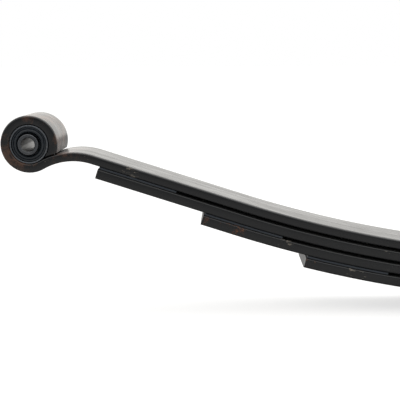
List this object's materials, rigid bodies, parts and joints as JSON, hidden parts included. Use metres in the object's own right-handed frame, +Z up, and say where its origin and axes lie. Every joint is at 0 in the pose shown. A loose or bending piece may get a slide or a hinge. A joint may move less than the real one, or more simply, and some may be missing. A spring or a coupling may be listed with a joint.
{
  "type": "leaf spring",
  "caption": "Semi-elliptic automotive leaf spring: stacked leaves on a centre bolt, upturned eyes with rubber bushes, liners under the leaf tips and rebound clips.",
  "frame": {"origin": "on the centre bolt's axis, at the underside of the fourth leaf, where the spring rests on the axle seat", "axes": "+X along the spring from the front eye to the rear eye, +Y across the leaves, +Z up, towards the eyes"},
  "size_m": [1.1604, 0.0886, 0.1921],
  "materials": {
    "leaf_paint": "black spring paint, semi-gloss, scuffed, a little surface rust at cut ends and edges",
    "clip_paint": "black paint over bent strip",
    "spacer_steel": "black-painted steel plate",
    "sleeve_steel": "blued drawn steel tube, rim bright",
    "tube_steel": "dark turned steel tube, rim bright, bore dark",
    "bush_rubber": "black moulded rubber, slightly glossy",
    "liner_plastic": "dark moulded anti-friction plastic",
    "centre_fastener": "black-oxide steel",
    "zinc_fastener": "zinc-plated steel, dulled",
    "rivet_steel": "plain forged steel rivet"
  },
  "bodies": {
    "leaf_pack": {"main_leaf": "leaf_paint", "second_leaf": "leaf_paint", "third_leaf": "leaf_paint", "fourth_leaf": "leaf_paint", "centre_spacer_upper": "spacer_steel", "centre_spacer_middle": "spacer_steel", "centre_spacer_lower": "spacer_steel", "centre_bolt": "centre_fastener", "centre_bolt_nut": "centre_fastener", "front_clip_strap": "clip_paint", "front_clip_rivet": "rivet_steel", "front_clip_bolt": "zinc_fastener", "front_clip_nut": "zinc_fastener", "front_clip_tube": "zinc_fastener", "rear_clip_strap": "clip_paint", "rear_clip_rivet": "rivet_steel", "rear_clip_bolt": "zinc_fastener", "rear_clip_nut": "zinc_fastener", "rear_clip_tube": "zinc_fastener"},
    "front_end": {"front_bush_sleeve": "sleeve_steel", "front_bush_rubber": "bush_rubber", "front_tip_liner_upper": "liner_plastic", "front_tip_liner_middle": "liner_plastic", "front_tip_liner_lower": "liner_plastic"},
    "rear_end": {"rear_bush_sleeve": "sleeve_steel", "rear_bush_rubber": "bush_rubber", "rear_tip_liner_upper": "liner_plastic", "rear_tip_liner_middle": "liner_plastic", "rear_tip_liner_lower": "liner_plastic"},
    "front_bush_inner": {"front_bush_tube": "tube_steel"},
    "rear_bush_inner": {"rear_bush_tube": "tube_steel"}
  },
  "joints": [
    {"name": "front_flex", "type": "hinge", "parent": "leaf_pack", "child": "front_end", "pos_m": [-0.18, 0, 0.056], "axis": [0, -1, 0], "range_deg": [-2, 14], "stiffness_Nm_per_rad": 8000, "deforming": ["main_leaf", "second_leaf", "third_leaf", "fourth_leaf"]},
    {"name": "rear_flex", "type": "hinge", "parent": "leaf_pack", "child": "rear_end", "pos_m": [0.18, 0, 0.056], "axis": [0, 1, 0], "range_deg": [-2, 14], "stiffness_Nm_per_rad": 8000, "deforming": ["main_leaf", "second_leaf", "third_leaf", "fourth_leaf"]},
    {"name": "front_bush_twist", "type": "hinge", "parent": "front_end", "child": "front_bush_inner", "pos_m": [-0.5525, 0, 0.15632], "axis": [0, 1, 0], "range_deg": [-20, 20], "stiffness_Nm_per_rad": 40, "deforming": ["front_bush_rubber"]},
    {"name": "rear_bush_twist", "type": "hinge", "parent": "rear_end", "child": "rear_bush_inner", "pos_m": [0.5525, 0, 0.15632], "axis": [0, 1, 0], "range_deg": [-20, 20], "stiffness_Nm_per_rad": 40, "deforming": ["rear_bush_rubber"]}
  ]
}
